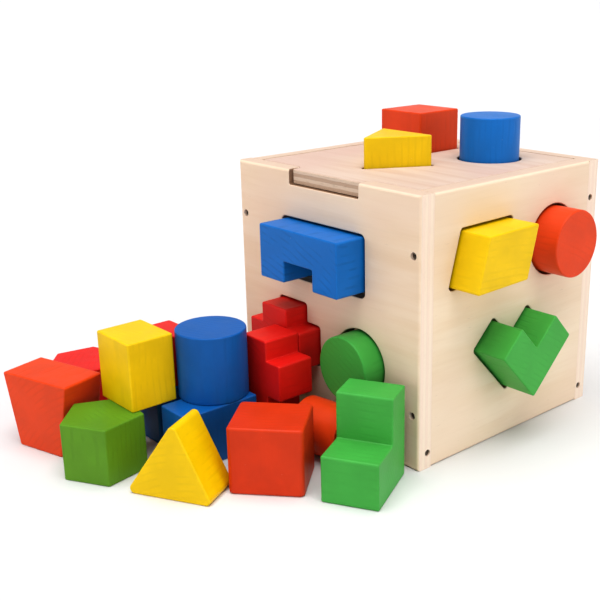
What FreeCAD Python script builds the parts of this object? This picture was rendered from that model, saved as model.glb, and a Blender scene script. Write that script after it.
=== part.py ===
"""Wooden shape sorter: an open-topped panel box with a tabbed lift-off lid, nine blocks
standing in its sorting holes and fifteen loose blocks on the floor in front of it.

Frame, in millimetres: the origin is the middle of the box's underside, +X runs to the
right along the front face, +Y runs to the back and +Z runs up.
"""
import FreeCAD, Part
import math
import os

V = FreeCAD.Vector
X_AXIS = V(1, 0, 0)
Y_AXIS = V(0, 1, 0)
Z_AXIS = V(0, 0, 1)

# ---- the box ----
SIDE = 140.0            # outside edge of the cube
HALF = SIDE / 2
WALL = 9.0              # panel thickness
HOUSING = 4.5           # depth of the corner grooves and of the tongues in them
TONGUE_TOP = 134.0      # the tongues stop below the top edge
BASE_THICK = 12.0
EDGE_ROUND = 1.6        # softened outer edges of the panels
RIM_ROUND = 0.8         # softened rims of the sorting holes
LID_THICK = 7.5         # lid and tab
LID_GAP = 0.5           # gap all round the lid
LEDGE = 9.0             # square section of the two ledges under the lid
LEDGE_LENGTH = 96.0
NOTCH_WIDTH = 53.5      # notch in the front panel's top edge, which the lid's tab fills
NOTCH_CENTRE = 0.45
NOTCH_DEEP = 8.0
NOTCH_ROUND = 0.8       # lower corners of the notch
NOTCH_RIM = 0.6         # softened rim of the notch on the front face
TAB_SET_BACK = 2.2      # the tab's end lies this far behind the front face
TAB_ROOT = 4.0          # rounding where the tab meets the lid

# ---- screws and pins ----
SCREW_INSET = 4.7       # from the box's side to the screw's centre
SCREW_HEIGHTS = (29.0, 110.5)
SCREW_HEAD_R = 1.9
SCREW_SHANK_R = 1.2
SCREW_SUNK = 1.6        # how far the head lies below the face
SCREW_DEEP = 19.0
PIN_R = 1.7
PIN_INSET = 6.5         # from the front or back face to the pin's centre
PIN_LOW = 8.5
PIN_HIGH = 119.6
PIN_SUNK = 0.8
BORE_PLAY = 0.05

# ---- blocks ----
CORNER = 1.1            # rounding of a block's long edges
INNER_CORNER = 0.7      # rounding of its inward corners
END_ROUND = 0.8         # rounding of the edges of its end faces
HOLE_PLAY = 1.2         # gap between a block and its hole, each side
LAYER = 30.0            # thickness of the blocks that carry others


def place(shape, position, yaw=0.0):
    """Turn a shape about the vertical and move it."""
    moved = shape.copy()
    moved.rotate(V(0, 0, 0), Z_AXIS, yaw)
    moved.translate(V(*position))
    return moved


def box(x0, x1, y0, y1, z0, z1):
    """A block between two corners."""
    return Part.makeBox(x1 - x0, y1 - y0, z1 - z0, V(x0, y0, z0))


def turns_inward(before, corner, after):
    """True where an anticlockwise outline bends inward."""
    first = corner - before
    second = after - corner
    return first.x * second.y - first.y * second.x < 0


def outline(points, corner=CORNER, inner=INNER_CORNER):
    """A closed flat face with every corner of the outline rounded."""
    corners = [V(x, y, 0) for x, y in points]
    count = len(corners)
    arcs = []
    for index, here in enumerate(corners):
        before = corners[index - 1]
        after = corners[(index + 1) % count]
        radius = inner if turns_inward(before, here, after) else corner
        back = (before - here).normalize()
        ahead = (after - here).normalize()
        half_angle = back.getAngle(ahead) / 2
        middle = (back + ahead).normalize()
        trim = radius / math.tan(half_angle)
        centre = here + middle * (radius / math.sin(half_angle))
        arcs.append((here + back * trim, centre - middle * radius, here + ahead * trim))
    edges = []
    for index, (start, mid, end) in enumerate(arcs):
        edges.append(Part.Arc(start, mid, end).toShape())
        following = arcs[(index + 1) % count][0]
        if end.distanceToPoint(following) > 1e-6:
            edges.append(Part.LineSegment(end, following).toShape())
    return Part.Face(Part.Wire(Part.__sortEdges__(edges)))


def circle(radius, x=0.0, y=0.0):
    """A round flat face."""
    ring = Part.makeCircle(radius, V(x, y, 0))
    return Part.Face(Part.Wire([ring]))


def prism(face, length, end_round=END_ROUND):
    """Extrude a flat outline upward and soften both of its end loops."""
    solid = face.extrude(V(0, 0, length))
    loops = []
    for edge in solid.Edges:
        span = edge.BoundBox
        if span.ZLength < 1e-6 and (span.ZMin < 1e-6 or span.ZMin > length - 1e-6):
            loops.append(edge)
    return solid.makeFillet(end_round, loops)


def upright(solid):
    """Turn a prism drawn flat so that its outline stands in the X-Z plane.

    It then runs from y = -length to y = 0.
    """
    turned = solid.copy()
    turned.rotate(V(0, 0, 0), X_AXIS, 90)
    return turned


def sideways(solid):
    """Turn a prism drawn flat so that its outline stands in the Y-Z plane, running along +X."""
    turned = solid.copy()
    turned.rotate(V(0, 0, 0), V(1, 1, 1), 120)
    return turned


def centred_upright(solid, length):
    """An upright prism with its length centred on y = 0."""
    turned = upright(solid)
    turned.translate(V(0, length / 2, 0))
    return turned


# ---- outlines ----
def rectangle(width, height, x=0.0, y=0.0):
    """Corners of a rectangle about a centre, anticlockwise."""
    w = width / 2
    h = height / 2
    return [(x - w, y - h), (x + w, y - h), (x + w, y + h), (x - w, y + h)]


def regular(count, radius, first, x=0.0, y=0.0):
    """Corners of a regular polygon, its first corner at the angle `first` in degrees."""
    angles = [math.radians(first + 360.0 * n / count) for n in range(count)]
    return [(x + radius * math.cos(a), y + radius * math.sin(a)) for a in angles]


def cross(overall, arm, x=0.0, y=0.0):
    """Corners of a plus sign."""
    a = overall / 2
    b = arm / 2
    points = [(-b, -a), (b, -a), (b, -b), (a, -b), (a, b), (b, b),
              (b, a), (-b, a), (-b, b), (-a, b), (-a, -b), (-b, -b)]
    return [(x + px, y + py) for px, py in points]


def angle_piece(long_arm, short_arm, arm):
    """Corners of an L whose outer corner is at the origin."""
    return [(0, 0), (long_arm, 0), (long_arm, arm), (arm, arm), (arm, short_arm), (0, short_arm)]


def turned(points, degrees, x, y):
    """An outline turned in its own plane and moved."""
    c = math.cos(math.radians(degrees))
    s = math.sin(math.radians(degrees))
    return [(x + c * px - s * py, y + s * px + c * py) for px, py in points]


def grown(points, play):
    """The same anticlockwise outline with every side moved outward."""
    count = len(points)
    result = []
    for index, (x, y) in enumerate(points):
        before = V(x - points[index - 1][0], y - points[index - 1][1], 0).normalize()
        after = V(points[(index + 1) % count][0] - x, points[(index + 1) % count][1] - y, 0).normalize()
        out_before = V(before.y, -before.x, 0)
        out_after = V(after.y, -after.x, 0)
        shift = (out_before + out_after) * (play / (1 + out_before.dot(out_after)))
        result.append((x + shift.x, y + shift.y))
    return result


# ---- sorting blocks in their holes: outline, how far each stands out, its length ----
PEG_SQUARE = rectangle(31.8, 31.8, -26.2, 28.6)
PEG_TRIANGLE = regular(3, 22.2, 30, 0.3, -19.3)
PEG_ROUND = (16.3, 25.7, 30.0)
PEG_ARCH = [(-30.6, 84.6), (-11.0, 84.6), (-11.0, 96.0), (11.4, 96.0),
            (11.4, 84.6), (30.3, 84.6), (30.3, 113.4), (-30.6, 113.4)]
ARCH_HOLE = rectangle(64.7, 33.1, -0.85, 98.0)
PEG_CROSS = cross(42.4, 21, -25.6, 46.8)
PEG_DISC = (17.4, 27.2, 45.8)
PEG_SLANT = [(-48.8, 90.9), (-11.2, 91.6), (-3.8, 119.1), (-40.9, 118.7)]
PEG_BARREL = (18.0, 31.5, 101.7)
PEG_ANGLE = turned(angle_piece(39.5, 37.3, 19), 43.5, -3.4, 26.9)

TOP_PEG_INSIDE = 5.0    # how far the lid's blocks reach below the lid
SIDE_PEG_INSIDE = 3.5   # how far the wall blocks reach past the inner face


def lid_peg(face, proud):
    """A block standing through the lid."""
    length = proud + LID_THICK + TOP_PEG_INSIDE
    solid = prism(face, length)
    solid.translate(V(0, 0, SIDE + proud - length))
    return solid


def front_peg(face, proud):
    """A block standing out of the front panel."""
    length = proud + WALL + SIDE_PEG_INSIDE
    solid = upright(prism(face, length))
    solid.translate(V(0, -HALF - proud + length, 0))
    return solid


def right_peg(face, proud):
    """A block standing out of the right panel."""
    length = proud + WALL + SIDE_PEG_INSIDE
    solid = sideways(prism(face, length))
    solid.translate(V(HALF + proud - length, 0, 0))
    return solid


def pegs():
    """The nine blocks in the holes."""
    return {
        "peg_square": lid_peg(outline(PEG_SQUARE), 22.8),
        "peg_triangle": lid_peg(outline(PEG_TRIANGLE, 1.2), 16.0),
        "peg_round": lid_peg(circle(*PEG_ROUND), 23.5),
        "peg_arch": front_peg(outline(PEG_ARCH), 17.4),
        "peg_cross": front_peg(outline(PEG_CROSS), 13.5),
        "peg_disc": front_peg(circle(*PEG_DISC), 12.0),
        "peg_slant": right_peg(outline(PEG_SLANT), 17.4),
        "peg_barrel": right_peg(circle(*PEG_BARREL), 15.5),
        "peg_angle": right_peg(outline(PEG_ANGLE), 18.9),
    }


# ---- empty sorting holes in the left panel, one for each loose shape with no other hole ----
HEXAGON_R = 21.2
PENTAGON_R = 21.5
TRAPEZOID = (46.0, 31.0, 40.2)      # wide side, narrow side, height
HOLE_ROW = 96.0
HOLE_SPREAD = 31.0
TRAPEZOID_HOLE_Z = 41.0


def trapezoid(wide, narrow, height, x=0.0, y=0.0):
    """Corners of a symmetric trapezoid with its wide side up and its narrow side on y."""
    return [(x - narrow / 2, y), (x + narrow / 2, y), (x + wide / 2, y + height), (x - wide / 2, y + height)]


# ---- panels ----
def soften(solid, picked, radius):
    """Fillet the picked edges of a panel."""
    return solid.makeFillet(radius, [edge for edge in solid.Edges if picked(edge)])


def flat_at(edge, axis, value):
    """True if the whole edge lies in the plane axis = value."""
    span = edge.BoundBox
    low, high = {"x": (span.XMin, span.XMax), "y": (span.YMin, span.YMax), "z": (span.ZMin, span.ZMax)}[axis]
    return abs(low - value) < 0.01 and abs(high - value) < 0.01


def through_y(face):
    """Cutter through the front panel."""
    cutter = upright(face.extrude(V(0, 0, 3 * WALL)))
    cutter.translate(V(0, -HALF + 2 * WALL, 0))
    return cutter


def through_x(face, side):
    """Cutter through the right (+1) or left (-1) panel."""
    cutter = sideways(face.extrude(V(0, 0, 3 * WALL)))
    cutter.translate(V(side * (HALF - WALL / 2) - 1.5 * WALL, 0, 0))
    return cutter


def through_z(face):
    """Cutter through the lid."""
    cutter = face.extrude(V(0, 0, 3 * WALL))
    cutter.translate(V(0, 0, SIDE - 2 * WALL))
    return cutter


def hole_rims(solid, axis, value, reach):
    """Soften the rims of holes on one face, leaving that face's outer boundary alone."""
    def on_rim(edge):
        span = edge.BoundBox
        sizes = {"x": (span.YMin, span.YMax, span.ZMin, span.ZMax),
                 "y": (span.XMin, span.XMax, span.ZMin, span.ZMax),
                 "z": (span.XMin, span.XMax, span.YMin, span.YMax)}[axis]
        inside = sizes[0] > -reach and sizes[1] < reach and sizes[3] < SIDE - 12 and sizes[2] > -reach
        return flat_at(edge, axis, value) and inside
    return soften(solid, on_rim, RIM_ROUND)


def end_panel():
    """Front panel before its own holes: it covers the side panels' ends."""
    panel = box(-HALF, HALF, -HALF, -HALF + WALL, 0, SIDE)
    panel = soften(panel, lambda e: flat_at(e, "y", -HALF), EDGE_ROUND)
    for side in (-1, 1):
        low, high = sorted((side * (HALF - WALL), side * (HALF - HOUSING)))
        panel = panel.cut(box(low, high, -HALF + HOUSING, -HALF + WALL, 0, TONGUE_TOP))
    inner = HALF - HOUSING
    panel = panel.cut(box(-inner, inner, -inner, -HALF + WALL, 0, BASE_THICK))
    return panel


def lid_outline(play, front):
    """Corners of the lid with its front tab, grown all round by play; the tab ends at y = front."""
    edge = HALF - WALL - LID_GAP + play
    side = NOTCH_WIDTH / 2 - LID_GAP + play
    left = NOTCH_CENTRE - side
    right = NOTCH_CENTRE + side
    return [(-edge, -edge), (left, -edge), (left, front), (right, front),
            (right, -edge), (edge, -edge), (edge, edge), (-edge, edge)]


def notch_cutter():
    """The lid's own outline, grown by the lid's gap and open to the front."""
    face = outline(lid_outline(LID_GAP, -HALF - 3 * NOTCH_ROUND), NOTCH_ROUND, TAB_ROOT - LID_GAP)
    cutter = prism(face, 2 * NOTCH_DEEP, NOTCH_ROUND)
    cutter.translate(V(0, 0, SIDE - NOTCH_DEEP))
    return cutter


def front_panel():
    """Front panel with the arch, cross and disc holes and the notch for the lid's tab."""
    panel = end_panel()
    panel = panel.cut(through_y(outline(ARCH_HOLE, 3.0)))
    panel = panel.cut(through_y(outline(grown(PEG_CROSS, 0.9), 2.0)))
    panel = panel.cut(through_y(circle(PEG_DISC[0] + HOLE_PLAY, PEG_DISC[1], PEG_DISC[2] + 0.2)))
    panel = hole_rims(panel, "y", -HALF, 50)
    panel = panel.cut(notch_cutter())
    return soften(panel, on_notch_rim, NOTCH_RIM)


def on_notch_rim(edge):
    """True for the notch's edges on the panel's outer face."""
    span = edge.BoundBox
    low = span.ZMin > SIDE - NOTCH_DEEP - 0.1 and span.ZMax < SIDE - EDGE_ROUND + 0.1
    return flat_at(edge, "y", -HALF) and low and span.XMax - span.XMin < NOTCH_WIDTH


def side_panel():
    """Right panel before its own holes: it stands between the end panels, tongues in their grooves."""
    inner = HALF - WALL
    panel = box(inner, HALF, -inner, inner, 0, SIDE)
    panel = soften(panel, lambda e: flat_at(e, "x", HALF) and e.BoundBox.YLength > 50, EDGE_ROUND)
    for end in (-1, 1):
        low, high = sorted((end * inner, end * (inner + HOUSING)))
        panel = panel.fuse(box(inner, inner + HOUSING, low, high, BASE_THICK, TONGUE_TOP))
    panel = panel.cut(box(inner - 1, HALF - HOUSING, -HALF, HALF, -1, BASE_THICK))
    return panel.removeSplitter()


def right_panel():
    """Right panel with the slanted, round and angle holes."""
    panel = side_panel()
    panel = panel.cut(through_x(outline(grown(PEG_SLANT, HOLE_PLAY), 2.0), 1))
    panel = panel.cut(through_x(circle(PEG_BARREL[0] + HOLE_PLAY, PEG_BARREL[1], PEG_BARREL[2]), 1))
    panel = panel.cut(through_x(outline(grown(PEG_ANGLE, HOLE_PLAY), 2.0), 1))
    return hole_rims(panel, "x", HALF, 58)


def left_panel():
    """Left panel with three empty holes for the trapezoid, hexagon and pentagon blocks."""
    panel = side_panel().mirror(V(0, 0, 0), X_AXIS)
    hexagon = regular(6, HEXAGON_R, 0, HOLE_SPREAD, HOLE_ROW)
    pentagon = regular(5, PENTAGON_R, 90, -HOLE_SPREAD, HOLE_ROW)
    slanted = trapezoid(*TRAPEZOID, 0, TRAPEZOID_HOLE_Z - TRAPEZOID[2] / 2)
    for points in (hexagon, pentagon, slanted):
        panel = panel.cut(through_x(outline(grown(points, HOLE_PLAY), 2.0), -1))
    return hole_rims(panel, "x", -HALF, 58)


def base_panel():
    """Base, its edges housed in the four walls and its underside level with theirs."""
    inner = HALF - HOUSING
    return box(-inner, inner, -inner, inner, 0, BASE_THICK)


def ledge(side):
    """One of the two ledges that carry the lid."""
    inner = HALF - WALL
    low, high = sorted((side * inner, side * (inner - LEDGE)))
    half = LEDGE_LENGTH / 2
    top = SIDE - LID_THICK
    strip = box(low, high, -half, half, top - LEDGE, top)
    return soften(strip, lambda e: flat_at(e, "x", side * (inner - LEDGE)), 1.0)


def lid_panel():
    """Loose lid lying level with the box's top edge, with its front tab and three holes."""
    face = outline(lid_outline(0, -HALF + TAB_SET_BACK), 1.2, TAB_ROOT)
    lid = face.extrude(V(0, 0, LID_THICK))
    lid.translate(V(0, 0, SIDE - LID_THICK))
    for points, corner in ((PEG_SQUARE, 2.0), (PEG_TRIANGLE, 2.4)):
        lid = lid.cut(through_z(outline(grown(points, HOLE_PLAY), corner)))
    lid = lid.cut(through_z(circle(PEG_ROUND[0] + HOLE_PLAY, PEG_ROUND[1], PEG_ROUND[2])))
    return soften(lid, lambda e: flat_at(e, "z", SIDE), RIM_ROUND)


# ---- screws and pins ----
def screw_places():
    """Foot of each front screw: its x and z."""
    inset = HALF - SCREW_INSET
    return [(side * inset, height) for height in SCREW_HEIGHTS for side in (-1, 1)]


def front_screw(x, z, play):
    """Countersunk wood screw driven in from the front; play widens it into its bore."""
    face_y = -HALF
    head_y = face_y + SCREW_SUNK
    length = SCREW_DEEP - SCREW_SUNK
    shank = Part.makeCylinder(SCREW_SHANK_R + play, length, V(x, head_y, z), Y_AXIS)
    cone = Part.makeCone(SCREW_HEAD_R + play, SCREW_SHANK_R + play, 1.4, V(x, head_y, z), Y_AXIS)
    if play > 0:
        mouth = Part.makeCylinder(SCREW_HEAD_R + play, SCREW_SUNK + 1, V(x, face_y - 1, z), Y_AXIS)
        return shank.fuse([cone, mouth])
    driver = box(x - 0.25, x + 0.25, head_y - 1, head_y + 0.6, z - 1.1, z + 1.1)
    driver = driver.fuse(box(x - 1.1, x + 1.1, head_y - 1, head_y + 0.6, z - 0.25, z + 0.25))
    return shank.fuse(cone).cut(driver)


def right_pin(y, z, deep, play):
    """Plain pin pressed in from the right; play widens it into its bore."""
    start = HALF + 1 if play > 0 else HALF - PIN_SUNK
    return Part.makeCylinder(PIN_R + play, start - (HALF - deep), V(start, y, z), X_AXIS * -1)


def right_pins(play):
    """Two low pins reaching the base and one high pin in the rear tongue."""
    inset = HALF - PIN_INSET
    return [right_pin(-inset, PIN_LOW, 12.0, play),
            right_pin(inset, PIN_LOW, 12.0, play),
            right_pin(inset, PIN_HIGH, 8.0, play)]


def mirrored(solids, axis):
    """Mirror copies through the box's middle plane."""
    return [solid.mirror(V(0, 0, 0), axis) for solid in solids]


def fixings(play):
    """Every group of screws and pins by name."""
    front = [front_screw(x, z, play) for x, z in screw_places()]
    right = right_pins(play)
    return {"front_screws": front, "back_screws": mirrored(front, Y_AXIS),
            "right_pins": right, "left_pins": mirrored(right, X_AXIS)}


def box_nodes():
    """Panels with every bore cut, and the fixings that fill the bores."""
    panels = {
        "box_front": front_panel(),
        "box_back": end_panel().mirror(V(0, 0, 0), Y_AXIS),
        "box_right": right_panel(),
        "box_left": left_panel(),
        "box_base": base_panel(),
    }
    bores = [bore for group in fixings(BORE_PLAY).values() for bore in group]
    nodes = {}
    for name, panel in panels.items():
        nodes[name] = panel.cut(bores)
    nodes["ledge_left"] = ledge(-1)
    nodes["ledge_right"] = ledge(1)
    nodes["lid"] = lid_panel()
    for name, group in fixings(0).items():
        nodes[name] = Part.makeCompound(group)
    return nodes


# ---- loose blocks ----
WEDGE = [(-23.4, 0), (23.4, 0), (4.5, 40.5)]    # the lying triangular block, a little lopsided


def lying(points, length, corner=CORNER):
    """A prism lying on the floor with its outline facing forward."""
    return centred_upright(prism(outline(points, corner), length), length)


def loose_blocks():
    """The fifteen blocks lying and stacked in front of the box."""
    step = [(-20, 0), (20, 0), (20, 47.8), (1, 47.8), (1, 23.9), (-20, 23.9)]
    half_round = half_disc(17.4)
    stair = sideways(prism(outline(step), 28.8))
    stair.translate(V(-14.4, 0, 0))
    roller = sideways(prism(circle(14.3, 0, 14.3), 30.0))
    roller.translate(V(-15.0, 0, 0))
    return {
        "loose_trapezoid": place(lying(trapezoid(*TRAPEZOID), 25.5), (-86.2, -184.3, 0), 16.1),
        "loose_hexagon": place(prism(outline(regular(6, HEXAGON_R, 20)), 34.0), (-105.6, -155.2, 0)),
        "loose_pentagon": place(prism(outline(regular(5, PENTAGON_R, -25)), LAYER), (-41.7, -181.1, 0)),
        "loose_wedge": place(lying(WEDGE, 23.4, 2.6), (2.6, -165.6, 0), 28.0),
        "loose_cube": place(prism(outline(rectangle(37, 32.5), 2.6), 34.6, 1.4), (26.5, -127.6, 0), 40.7),
        "loose_stair": place(stair, (62.8, -100.3, 0), 27.6),
        "loose_roller": place(roller, (24.6, -89.0, 0), 8.0),
        "loose_slab": place(prism(outline(rectangle(22.5, 44)), LAYER), (-18.75, -132.2, 0)),
        "loose_tall_round": place(prism(circle(18.3), 36.0), (-25.5, -124.6, LAYER)),
        "loose_prop": place(prism(outline(rectangle(27.5, 34)), LAYER), (-58.5, -130.2, 0)),
        "loose_square": place(prism(outline(rectangle(30.6, 26)), 36.0), (-46.1, -156.7, LAYER)),
        "loose_red_block": place(prism(outline(rectangle(24.6, 21.4)), 28.2), (-57.7, -132.0, LAYER)),
        "loose_half_round": place(centred_upright(prism(half_round, 21.4), 21.4), (-14.3, -94.9, 0)),
        "loose_cross": place(lying(cross(41, 19.6, 0, 20.5), 21.8), (-14.3, -94.9, 17.4)),
        "loose_yellow_cube": place(prism(outline(rectangle(25, 24)), LAYER), (-50.2, -97.3, 0)),
    }


def half_disc(radius):
    """A half disc standing on its flat side, its two lower corners softened."""
    corner = CORNER
    foot = math.sqrt((radius - corner) ** 2 - corner ** 2)
    touch = radius / (radius - corner)
    points = [V(foot * touch, corner * touch, 0), V(0, radius, 0), V(-foot * touch, corner * touch, 0)]
    crown = Part.Arc(*points).toShape()
    angle = math.atan2(corner, foot)
    edges = [crown]
    for side in (-1, 1):
        centre = V(side * foot, corner, 0)
        swing = (angle - math.pi / 2) / 2
        mid = centre + V(side * math.cos(swing), math.sin(swing), 0) * corner
        low = V(side * foot, 0, 0)
        high = V(side * foot * touch, corner * touch, 0)
        edges.append(Part.Arc(low, mid, high).toShape())
    edges.append(Part.LineSegment(V(-foot, 0, 0), V(foot, 0, 0)).toShape())
    return Part.Face(Part.Wire(Part.__sortEdges__(edges)))


def main():
    """Build every node and write one STEP file for each."""
    os.makedirs("parts", exist_ok=True)
    nodes = box_nodes()
    nodes.update(pegs())
    nodes.update(loose_blocks())
    for name, shape in nodes.items():
        shape.exportStep(os.path.join("parts", name + ".step"))
        span = shape.BoundBox
        print(f"{name:18s} solids {len(shape.Solids)} valid {shape.isValid()} "
              f"x {span.XMin:7.1f} {span.XMax:7.1f} y {span.YMin:7.1f} {span.YMax:7.1f} "
              f"z {span.ZMin:6.1f} {span.ZMax:6.1f} volume {shape.Volume:9.0f}")


main()
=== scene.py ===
"""Looks, light and camera for the wooden shape sorter. Everything is in metres, in the CAD frame."""
import math

import bpy
from mathutils import Matrix, Vector

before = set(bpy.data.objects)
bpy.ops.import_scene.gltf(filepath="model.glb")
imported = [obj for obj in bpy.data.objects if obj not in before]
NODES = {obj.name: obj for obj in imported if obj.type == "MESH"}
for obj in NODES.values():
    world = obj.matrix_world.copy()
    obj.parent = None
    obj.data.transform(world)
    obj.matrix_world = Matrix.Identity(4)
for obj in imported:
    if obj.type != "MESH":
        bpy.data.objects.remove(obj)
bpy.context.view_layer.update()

# ---- colours, as the eye sees them on a screen, 0 to 255 ----
COLOURS = {
    "orange": (220, 70, 20),
    "vermilion": (206, 60, 18),
    "red": (220, 30, 22),
    "yellow": (232, 194, 0),
    "blue": (14, 112, 192),
    "deep_blue": (12, 94, 168),
    "green": (72, 166, 72),
    "olive": (96, 146, 34),
}
CHIP = (214, 178, 132)                              # bare wood where the paint has chipped
UNDERCOAT = (0.95, 0.85, 0.7)                       # linear, glimpsed where the paint is thin, and used for the painted highlight along the edges
THINNED = 0.20                                      # share of it that shows there
SCORCHED = ((146, 104, 66), (96, 62, 36))           # walls of the holes and the notch
UPWARD_TONE = (204, 178, 158)                           # edges facing up, painted darker and rosier
# painted shadow of the gap round the lid, also darkening the rims of its holes
LID_RIM_SHADE = (158, 118, 86)
STEEL = ((112, 106, 98), (66, 54, 44))              # bare, stained
FLOOR = ((0.70, 0.70, 0.705, 1), (0.72, 0.72, 0.72, 1))     # linear
# Pale, tan and rosy tone of the panels' broad faces.
FRONT_WOOD = ((238, 216, 192), (232, 206, 178), (234, 208, 186))
SIDE_WOOD = ((236, 218, 194), (230, 208, 180), (232, 210, 188))
LID_WOOD = ((214, 193, 178), (206, 180, 162), (208, 178, 166))
# Specular level of each surface.
PAINT_GLOSS = 0.22
WOOD_GLOSS = 0.2
STEEL_GLOSS = 0.5
FLOOR_GLOSS = 0.1
PAINT_EDGE_BAND = 0.0011              # width of the band along a block's edges where the paint is rubbed and chipped and painted lighter as a highlight, in metres

# ---- the pieces ----
# Each painted block: its colour, the axis it was cut along, its turn about the vertical in degrees.
BLOCKS = {
    "peg_square": ("orange", "Z", 0),
    "peg_triangle": ("yellow", "Z", 0),
    "peg_round": ("blue", "Z", 0),
    "peg_arch": ("blue", "Y", 0),
    "peg_cross": ("red", "Y", 0),
    "peg_disc": ("green", "Y", 0),
    "peg_slant": ("yellow", "X", 0),
    "peg_barrel": ("orange", "X", 0),
    "peg_angle": ("green", "X", 0),
    "loose_trapezoid": ("orange", "Y", 16.1),
    "loose_hexagon": ("red", "Z", 20),
    "loose_pentagon": ("olive", "Z", 11),
    "loose_wedge": ("yellow", "Y", 28),
    "loose_cube": ("vermilion", "Z", 40.7),
    "loose_stair": ("green", "X", 27.6),
    "loose_roller": ("orange", "X", 8),
    "loose_slab": ("deep_blue", "Z", 0),
    "loose_tall_round": ("deep_blue", "Z", 0),
    "loose_prop": ("deep_blue", "Z", 0),
    "loose_square": ("yellow", "Z", 0),
    "loose_red_block": ("red", "Z", 0),
    "loose_half_round": ("green", "Y", 0),
    "loose_cross": ("red", "Y", 0),
    "loose_yellow_cube": ("yellow", "Z", 0),
}
# How strongly the growth rings show through the paint: the usual, and the blocks that differ.
USUAL_RINGS = 0.16
RING_STRENGTH = {"peg_arch": 0.42, "peg_disc": 0.3, "loose_tall_round": 0.24, "loose_pentagon": 0.24}
# Each bare wood panel: the axis its broad faces point along, the axis its grain runs along.
PANELS = {
    "box_front": ("Y", "X"),
    "box_back": ("Y", "X"),
    "box_left": ("X", "Y"),
    "box_right": ("X", "Y"),
    "box_base": ("Z", "X"),
    "lid": ("Z", "X"),
    "ledge_left": ("Z", "Y"),
    "ledge_right": ("Z", "Y"),
}
FIXINGS = ("front_screws", "back_screws", "left_pins", "right_pins")
WOOD = {name: FRONT_WOOD for name in PANELS}
WOOD.update(box_right=SIDE_WOOD, box_left=SIDE_WOOD, lid=LID_WOOD)
# Pale ply, dark ply and how strongly the plies show on a panel's edge.
EDGE_PLIES = {name: ((240, 222, 204), (234, 208, 192), 0.35) for name in PANELS}
# the lid's plies are darker and browner: painted shade of its tab, recessed in the notch
EDGE_PLIES["lid"] = ((216, 192, 170), (180, 148, 124), 0.7)
PLY_PAIR = 3.6                  # thickness of one pale and one dark ply together, in millimetres
PLY_START = 200.0               # the plies are counted from this far outside the box
# Darkened line along a panel's edges: its width in metres and its strength. On the lid it is wider and
# darker, a painted shadow of the gap round it that also darkens the rims of its holes.
RIM_DARKENING = {name: (0.0012, 0.3) for name in PANELS}
RIM_DARKENING["lid"] = (0.0018, 0.75)
# How far from a panel's middle a sorting hole's wall can lie, in millimetres.
INNER_REACH = {name: 62.0 for name in PANELS}
INNER_REACH.update(lid=56.0, box_base=300.0, ledge_left=300.0, ledge_right=300.0)
MIDDLE_HEIGHT = 70.0            # of the box, in millimetres
NOTCH_CENTRE = 0.45             # the notch in the front panel's top edge, in millimetres
NOTCH_HALF = 27.15
NOTCH_FLOOR = 131.0


def linear(colour):
    """Screen colour to linear RGBA."""
    def one(value):
        value /= 255
        return value / 12.92 if value <= 0.04045 else ((value + 0.055) / 1.055) ** 2.4
    return tuple(one(c) for c in colour) + (1.0,)


def shade(colour, factor):
    """A linear colour made darker or lighter."""
    return tuple(min(1.0, c * factor) for c in colour[:3]) + (1.0,)


AXIS_INDEX = {"X": 0, "Y": 1, "Z": 2}
TO_MILLIMETRES = (1000, 1000, 1000)     # from metres


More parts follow.
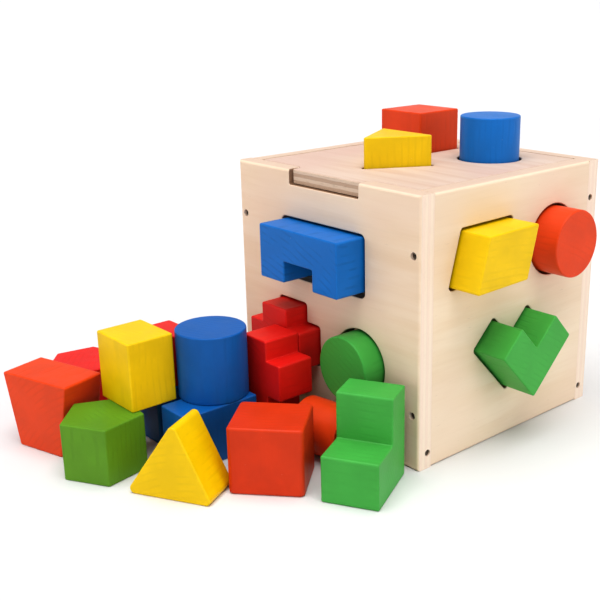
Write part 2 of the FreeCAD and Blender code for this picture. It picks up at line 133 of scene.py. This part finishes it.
class Graph:
    """A short way to write node trees: every input is a number, a colour or another node's socket.

    Patterns are placed in millimetres, so a noise's scale is in cells per millimetre.
    """

    def __init__(self, name):
        self.material = bpy.data.materials.new(name)
        self.material.use_nodes = True
        self.tree = self.material.node_tree
        self.tree.nodes.clear()

    def add(self, kind, inputs=None, **settings):
        node = self.tree.nodes.new(kind)
        for key, value in settings.items():
            setattr(node, key, value)
        for key, value in (inputs or {}).items():
            if isinstance(value, bpy.types.NodeSocket):
                self.tree.links.new(value, node.inputs[key])
            else:
                node.inputs[key].default_value = value
        return node

    def math(self, operation, first, second=0.0):
        return self.add("ShaderNodeMath", {0: first, 1: second}, operation=operation).outputs[0]

    def times(self, first, second):
        return self.math("MULTIPLY", first, second)

    def plus(self, first, second):
        return self.math("ADD", first, second)

    def inverse(self, value):
        return self.math("SUBTRACT", 1.0, value)

    def span(self, value, low, high):
        """0 below low, 1 above high, smooth between."""
        inputs = {"Value": value, "From Min": low, "From Max": high}
        node = self.add("ShaderNodeMapRange", inputs, interpolation_type="SMOOTHSTEP")
        return node.outputs["Result"]

    def mix(self, factor, first, second):
        """Two colours mixed; 0, 6, 7 and 2 are the mix node's factor, colours and colour result."""
        return self.add("ShaderNodeMix", {0: factor, 6: first, 7: second}, data_type="RGBA").outputs[2]

    def noise(self, vector, scale, detail=3.0, roughness=0.55, distortion=0.0):
        inputs = {"Vector": vector, "Scale": scale, "Detail": detail,
                  "Roughness": roughness, "Distortion": distortion}
        return self.add("ShaderNodeTexNoise", inputs).outputs["Fac"]

    def placed(self, turn=0.0, scale=(1, 1, 1), shift=(0, 0, 0), source=None):
        """Object coordinates in millimetres, turned, shifted and stretched."""
        if source is None:
            coords = self.add("ShaderNodeTexCoord").outputs["Object"]
            source = self.add("ShaderNodeVectorMath", {0: coords, 1: TO_MILLIMETRES},
                              operation="MULTIPLY").outputs[0]
        inputs = {"Vector": source, "Location": shift, "Rotation": (0, 0, math.radians(turn)),
                  "Scale": scale}
        return self.add("ShaderNodeMapping", inputs, vector_type="POINT").outputs[0]

    def corner_mask(self, radius):
        """1 along edges, from how far a rounded normal leans from the true one."""
        rounded = self.add("ShaderNodeBevel", {"Radius": radius}, samples=4).outputs[0]
        true = self.add("ShaderNodeNewGeometry").outputs["True Normal"]
        lean = self.add("ShaderNodeVectorMath", {0: rounded, 1: true}, operation="DOT_PRODUCT")
        return self.span(self.inverse(lean.outputs["Value"]), 0.02, 0.28)

    def bumped(self, *layers):
        """A normal from several (height, strength, distance) layers."""
        normal = None
        for height, strength, distance in layers:
            inputs = {"Height": height, "Strength": strength, "Distance": distance}
            if normal is not None:
                inputs["Normal"] = normal
            normal = self.add("ShaderNodeBump", inputs).outputs["Normal"]
        return normal

    def finish(self, colour, roughness, normal, specular, metallic=0.0):
        shader = self.add("ShaderNodeBsdfPrincipled", {
            "Base Color": colour, "Roughness": roughness, "Normal": normal,
            "Specular IOR Level": specular, "Metallic": metallic})
        output = self.add("ShaderNodeOutputMaterial")
        self.tree.links.new(shader.outputs[0], output.inputs["Surface"])
        return self.material


def stretched(axis, along, across):
    """Scale that draws a pattern out along one axis."""
    return tuple(along if i == AXIS_INDEX[axis] else across for i in range(3))


def painted_wood(name, colour, axis, turn, seed):
    """Satin paint over a block sawn from solid bar: growth rings show faintly on the cut ends,
    straight fibres along the sides; at the edges the paint thins and chips a little, and is painted
    lighter there as a highlight."""
    g = Graph("paint_" + name)
    base = linear(COLOURS[colour])
    shift = (37.0 + 9 * (seed % 5), 61.0 - 7 * (seed % 4), 44.0 + 5 * (seed % 7))
    here = g.placed(-turn, shift=shift)
    # wood under the paint
    wave = g.add("ShaderNodeTexWave", {
        "Vector": here, "Scale": 0.085 + 0.01 * (seed % 3), "Distortion": 3.2, "Detail": 2.0,
        "Detail Scale": 0.35, "Detail Roughness": 0.6}, wave_type="RINGS", rings_direction=axis)
    fibres = g.noise(g.placed(scale=stretched(axis, 0.05, 1.5), source=here), 1.0, 4.0, 0.6)
    clouds = g.noise(here, 0.055, 3.0)
    patches = g.noise(here, 0.11, 2.0)
    pores = g.noise(here, 2.6, 2.0)
    rings = g.times(g.span(wave.outputs["Fac"], 0.62, 0.98), g.span(patches, 0.42, 0.62))
    body = g.mix(g.span(clouds, 0.3, 0.7), shade(base, 0.93), shade(base, 1.06))
    body = g.mix(g.times(rings, RING_STRENGTH.get(name, USUAL_RINGS)), body, shade(base, 0.66))
    body = g.mix(g.times(g.span(fibres, 0.54, 0.74), 0.10), body, shade(base, 0.74))

    # wear, with a painted highlight along the edges
    edge_band = g.corner_mask(PAINT_EDGE_BAND)
    paler_paint = tuple((1 - THINNED) * c + THINNED * w for c, w in zip(base[:3], UNDERCOAT)) + (1.0,)
    # edges painted paler: partly rubbed paint, partly a painted highlight
    rubbed_and_highlit = g.times(edge_band, g.span(g.noise(here, 0.32, 3.0), 0.44, 0.66))
    body = g.mix(g.times(rubbed_and_highlit, 0.55), body, paler_paint)
    chips = g.times(edge_band, g.span(g.noise(here, 0.9, 2.0), 0.68, 0.72))
    body = g.mix(chips, body, linear(CHIP))
    specks = g.span(g.noise(here, 0.75, 1.0), 0.80, 0.815)
    body = g.mix(g.times(specks, 0.4), body, paler_paint)

    rough = g.plus(g.times(patches, 0.16), 0.34)
    rough = g.plus(rough, g.times(rubbed_and_highlit, 0.12))
    normal = g.bumped((rings, 0.3, -0.00010), (fibres, 0.35, 0.00009), (pores, 0.18, 0.00005),
                      (g.noise(here, 0.16, 2.0), 0.25, 0.00035), (chips, 0.5, -0.0002))
    return g.finish(body, rough, normal, PAINT_GLOSS)


def bare_ply(name, facing, grain, seed):
    """Pale sanded ply: long soft grain on the broad faces, stacked plies on the edges, painted darker
    and rosier where the edges face up, and browned walls where the holes and the notch were cut."""
    g = Graph("ply_" + name)
    here = g.placed(shift=(seed * 53.0, seed * 31.0, seed * 17.0))
    still = g.placed()
    parts = g.add("ShaderNodeSeparateXYZ", {0: still})
    along = {letter: parts.outputs[AXIS_INDEX[letter]] for letter in "XYZ"}
    aim = g.add("ShaderNodeSeparateXYZ", {0: g.add("ShaderNodeNewGeometry").outputs["True Normal"]})
    across = g.math("ABSOLUTE", aim.outputs[AXIS_INDEX[facing]])
    on_edge = g.inverse(g.span(across, 0.35, 0.75))

    # the broad faces: soft bands, finer streaks, fibres and a few short flecks
    pale, tan, rosy = (linear(c) for c in WOOD[name])
    long_soft = g.noise(g.placed(scale=stretched(grain, 0.010, 0.10), source=here), 1.0, 3.0, 0.55, 0.5)
    streaks = g.noise(g.placed(scale=stretched(grain, 0.022, 0.55), source=here), 1.0, 5.0, 0.62, 0.3)
    fibres = g.noise(g.placed(scale=stretched(grain, 0.10, 3.2), source=here), 1.0, 3.0, 0.6)
    flecks = g.noise(g.placed(scale=stretched(grain, 0.16, 1.3), source=here), 1.0, 2.0)
    blush = g.noise(here, 0.016, 2.0)
    face = g.mix(g.span(long_soft, 0.34, 0.68), pale, tan)
    face = g.mix(g.times(g.span(blush, 0.42, 0.66), 0.6), face, rosy)
    face = g.mix(g.times(g.span(streaks, 0.5, 0.72), 0.14), face, shade(tan, 0.86))
    face = g.mix(g.times(g.span(fibres, 0.52, 0.8), 0.10), face, shade(tan, 0.8))
    face = g.mix(g.times(g.span(flecks, 0.70, 0.76), 0.25), face, shade(tan, 0.62))

    # the panel's edges: stacked plies with a glue line, painted darker and rosier where they face up
    edge_pale, edge_dark, strength = EDGE_PLIES[name]
    wavy = g.plus(along[facing], g.times(g.noise(still, 0.12, 2.0), 0.5))
    ply = g.math("FRACT", g.math("DIVIDE", g.plus(wavy, PLY_START), PLY_PAIR))
    dark_ply = g.times(g.span(ply, 0.44, 0.5), g.inverse(g.span(ply, 0.92, 0.98)))
    glue = g.times(g.span(ply, 0.42, 0.46), g.inverse(g.span(ply, 0.47, 0.52)))
    end_grain = g.noise(g.placed(scale=stretched(facing, 1.6, 0.35), source=here), 1.0, 3.0, 0.7)
    side = g.mix(g.times(dark_ply, strength), linear(edge_pale), linear(edge_dark))
    side = g.mix(g.times(glue, 0.6 * strength), side, shade(linear(edge_dark), 0.6))
    side = g.mix(g.times(g.span(end_grain, 0.5, 0.75), 0.5 * strength), side,
                 shade(linear(edge_dark), 0.75))
    upward_darkening = g.times(g.span(aim.outputs[AXIS_INDEX["Z"]], 0.6, 0.95), 0.75)
    side = g.mix(upward_darkening, side, linear(UPWARD_TONE))

    # walls that were cut, told from the panel's outer edges by how far from its middle they are
    cut = None
    for letter in "XYZ":
        if letter == facing:
            continue
        place = g.math("SUBTRACT", along[letter], MIDDLE_HEIGHT) if letter == "Z" else along[letter]
        reach = INNER_REACH[name]
        within = g.inverse(g.span(g.math("ABSOLUTE", place), reach - 1.0, reach))
        cut = within if cut is None else g.times(cut, within)
    if name == "box_front":
        beside = g.math("ABSOLUTE", g.math("SUBTRACT", along["X"], NOTCH_CENTRE))
        near = g.math("LESS_THAN", beside, NOTCH_HALF)
        high = g.math("GREATER_THAN", along["Z"], NOTCH_FLOOR)
        cut = g.math("MAXIMUM", cut, g.times(near, high))
    scorched = g.mix(g.noise(here, 0.5, 2.0), *(linear(c) for c in SCORCHED))
    colour = g.mix(on_edge, face, side)
    colour = g.mix(g.times(g.times(on_edge, cut), 0.88), colour, scorched)
    rim_width, rim_strength = RIM_DARKENING[name]
    # on the lid this line is a painted shadow of the gap round it, and it darkens the holes' rims too
    rim_dark_tone = linear(LID_RIM_SHADE) if name == "lid" else shade(rosy, 0.74)
    edge_band = g.times(g.corner_mask(rim_width), g.span(g.noise(here, 0.2, 2.0), 0.3, 0.65))
    colour = g.mix(g.times(edge_band, rim_strength), colour, rim_dark_tone)

    rough = g.plus(g.times(streaks, 0.2), 0.48)
    ridges = g.times(dark_ply, on_edge)
    normal = g.bumped((streaks, 0.3, 0.00010), (fibres, 0.35, 0.00007), (ridges, 0.5, -0.00012))
    return g.finish(colour, rough, normal, WOOD_GLOSS)


def aged_steel(name):
    """Dull dark steel of the sunken screws and pins, with brushed and stained patches."""
    g = Graph("steel_" + name)
    here = g.placed()
    stain = g.noise(here, 0.9, 3.0)
    lines = g.noise(g.placed(scale=(0.8, 9.0, 0.8), source=here), 1.0, 2.0)
    colour = g.mix(g.span(stain, 0.4, 0.65), *(linear(c) for c in STEEL))
    rough = g.plus(g.times(stain, 0.3), 0.32)
    return g.finish(colour, rough, g.bumped((lines, 0.4, 0.00005)), STEEL_GLOSS, metallic=0.85)


def dress(node, material):
    """Put one material on a whole CAD node."""
    obj = NODES[node]
    obj.data.materials.clear()
    obj.data.materials.append(material)


for seed, (node, (colour, axis, turn)) in enumerate(BLOCKS.items()):
    dress(node, painted_wood(node, colour, axis, turn, seed))
for seed, (node, (facing, grain)) in enumerate(PANELS.items()):
    dress(node, bare_ply(node, facing, grain, seed))
for node in FIXINGS:
    dress(node, aged_steel(node))


# ---- floor ----
FLOOR_REACH = 30.0      # metres each way


def floor():
    """Wide pale floor, very softly mottled."""
    mesh = bpy.data.meshes.new("floor")
    corners = [(x * FLOOR_REACH, y * FLOOR_REACH, 0) for x, y in ((-1, -1), (1, -1), (1, 1), (-1, 1))]
    mesh.from_pydata(corners, [], [(0, 1, 2, 3)])
    obj = bpy.data.objects.new("floor", mesh)
    bpy.context.scene.collection.objects.link(obj)
    g = Graph("floor")
    here = g.placed()
    tone = g.mix(g.noise(here, 0.004, 2.0), *FLOOR)
    mesh.materials.append(g.finish(tone, 0.75, g.bumped((g.noise(here, 0.2), 0.05, 0.0001)), FLOOR_GLOSS))


floor()


# ---- camera: the view from the front right ----
AZIMUTH = math.radians(47.888)
ELEVATION = math.radians(17.736)
ROLL = math.radians(-0.61)
SENSOR = 36.0           # width, in millimetres
FOCAL = 59.3016         # focal length, in millimetres
SHIFT_X = -1 / 12       # sideways shift, as a share of the sensor's width
OFFSET = Vector((0.03864, -0.05572, 0.5866))     # right, up and back from the origin, in metres


def camera():
    """Camera placed from its direction and its offset along its own axes."""
    back = Vector((math.sin(AZIMUTH) * math.cos(ELEVATION),
                   -math.cos(AZIMUTH) * math.cos(ELEVATION), math.sin(ELEVATION)))
    level = (-back).cross(Vector((0, 0, 1))).normalized()
    upright = level.cross(-back).normalized()
    right = math.cos(ROLL) * level + math.sin(ROLL) * upright
    up = -math.sin(ROLL) * level + math.cos(ROLL) * upright
    data = bpy.data.cameras.new("camera")
    data.sensor_width = SENSOR
    data.lens = FOCAL
    data.shift_x = SHIFT_X
    data.clip_start = 0.01
    data.clip_end = 100.0
    obj = bpy.data.objects.new("camera", data)
    bpy.context.scene.collection.objects.link(obj)
    place = OFFSET.z * back - OFFSET.x * right - OFFSET.y * up
    rows = [[right[i], up[i], back[i], place[i]] for i in range(3)] + [[0, 0, 0, 1]]
    obj.matrix_world = Matrix(rows)
    bpy.context.scene.camera = obj


camera()


# ---- light ----
# Each sun: the direction it shines from, its strength, how soft it is in degrees.
SUNS = {
    "overhead": ((0.10, -0.12, 1.0), 3.3, 55.0),
    "right_rear": ((1.0, 0.30, 0.45), 0.62, 50.0),
    "left_front": ((-0.40, -1.0, 0.45), 0.46, 60.0),
}
# Height of a direction, as a sine, where the walls start and stop fading; strength below and above.
SKY_FADE = (0.22, 0.40, 1.08, 0.24)
DISPLAY_GAMMA = 0.86    # a little more contrast than plain


def soft_sun(name, towards, strength, spread):
    """Even light over the whole floor from one direction; spread is how soft it is, in degrees."""
    data = bpy.data.lights.new(name, "SUN")
    data.energy = strength
    data.angle = math.radians(spread)
    obj = bpy.data.objects.new(name, data)
    bpy.context.scene.collection.objects.link(obj)
    obj.rotation_mode = "QUATERNION"
    obj.rotation_quaternion = (-Vector(towards)).to_track_quat("-Z", "Y")


def studio_sky():
    """White studio walls all round, dimmer overhead."""
    world = bpy.data.worlds.new("studio")
    world.use_nodes = True
    tree = world.node_tree
    background = tree.nodes["Background"]
    background.inputs["Color"].default_value = (1.0, 1.0, 1.0, 1.0)
    place = tree.nodes.new("ShaderNodeTexCoord")
    parts = tree.nodes.new("ShaderNodeSeparateXYZ")
    fade = tree.nodes.new("ShaderNodeMapRange")
    fade.interpolation_type = "SMOOTHSTEP"
    for key, value in zip(("From Min", "From Max", "To Min", "To Max"), SKY_FADE):
        fade.inputs[key].default_value = value
    tree.links.new(place.outputs["Generated"], parts.inputs[0])
    tree.links.new(parts.outputs["Z"], fade.inputs["Value"])
    tree.links.new(fade.outputs["Result"], background.inputs["Strength"])
    bpy.context.scene.world = world


for name, (towards, strength, spread) in SUNS.items():
    soft_sun(name, towards, strength, spread)
studio_sky()
bpy.context.scene.view_settings.view_transform = "Standard"
bpy.context.scene.view_settings.gamma = DISPLAY_GAMMA
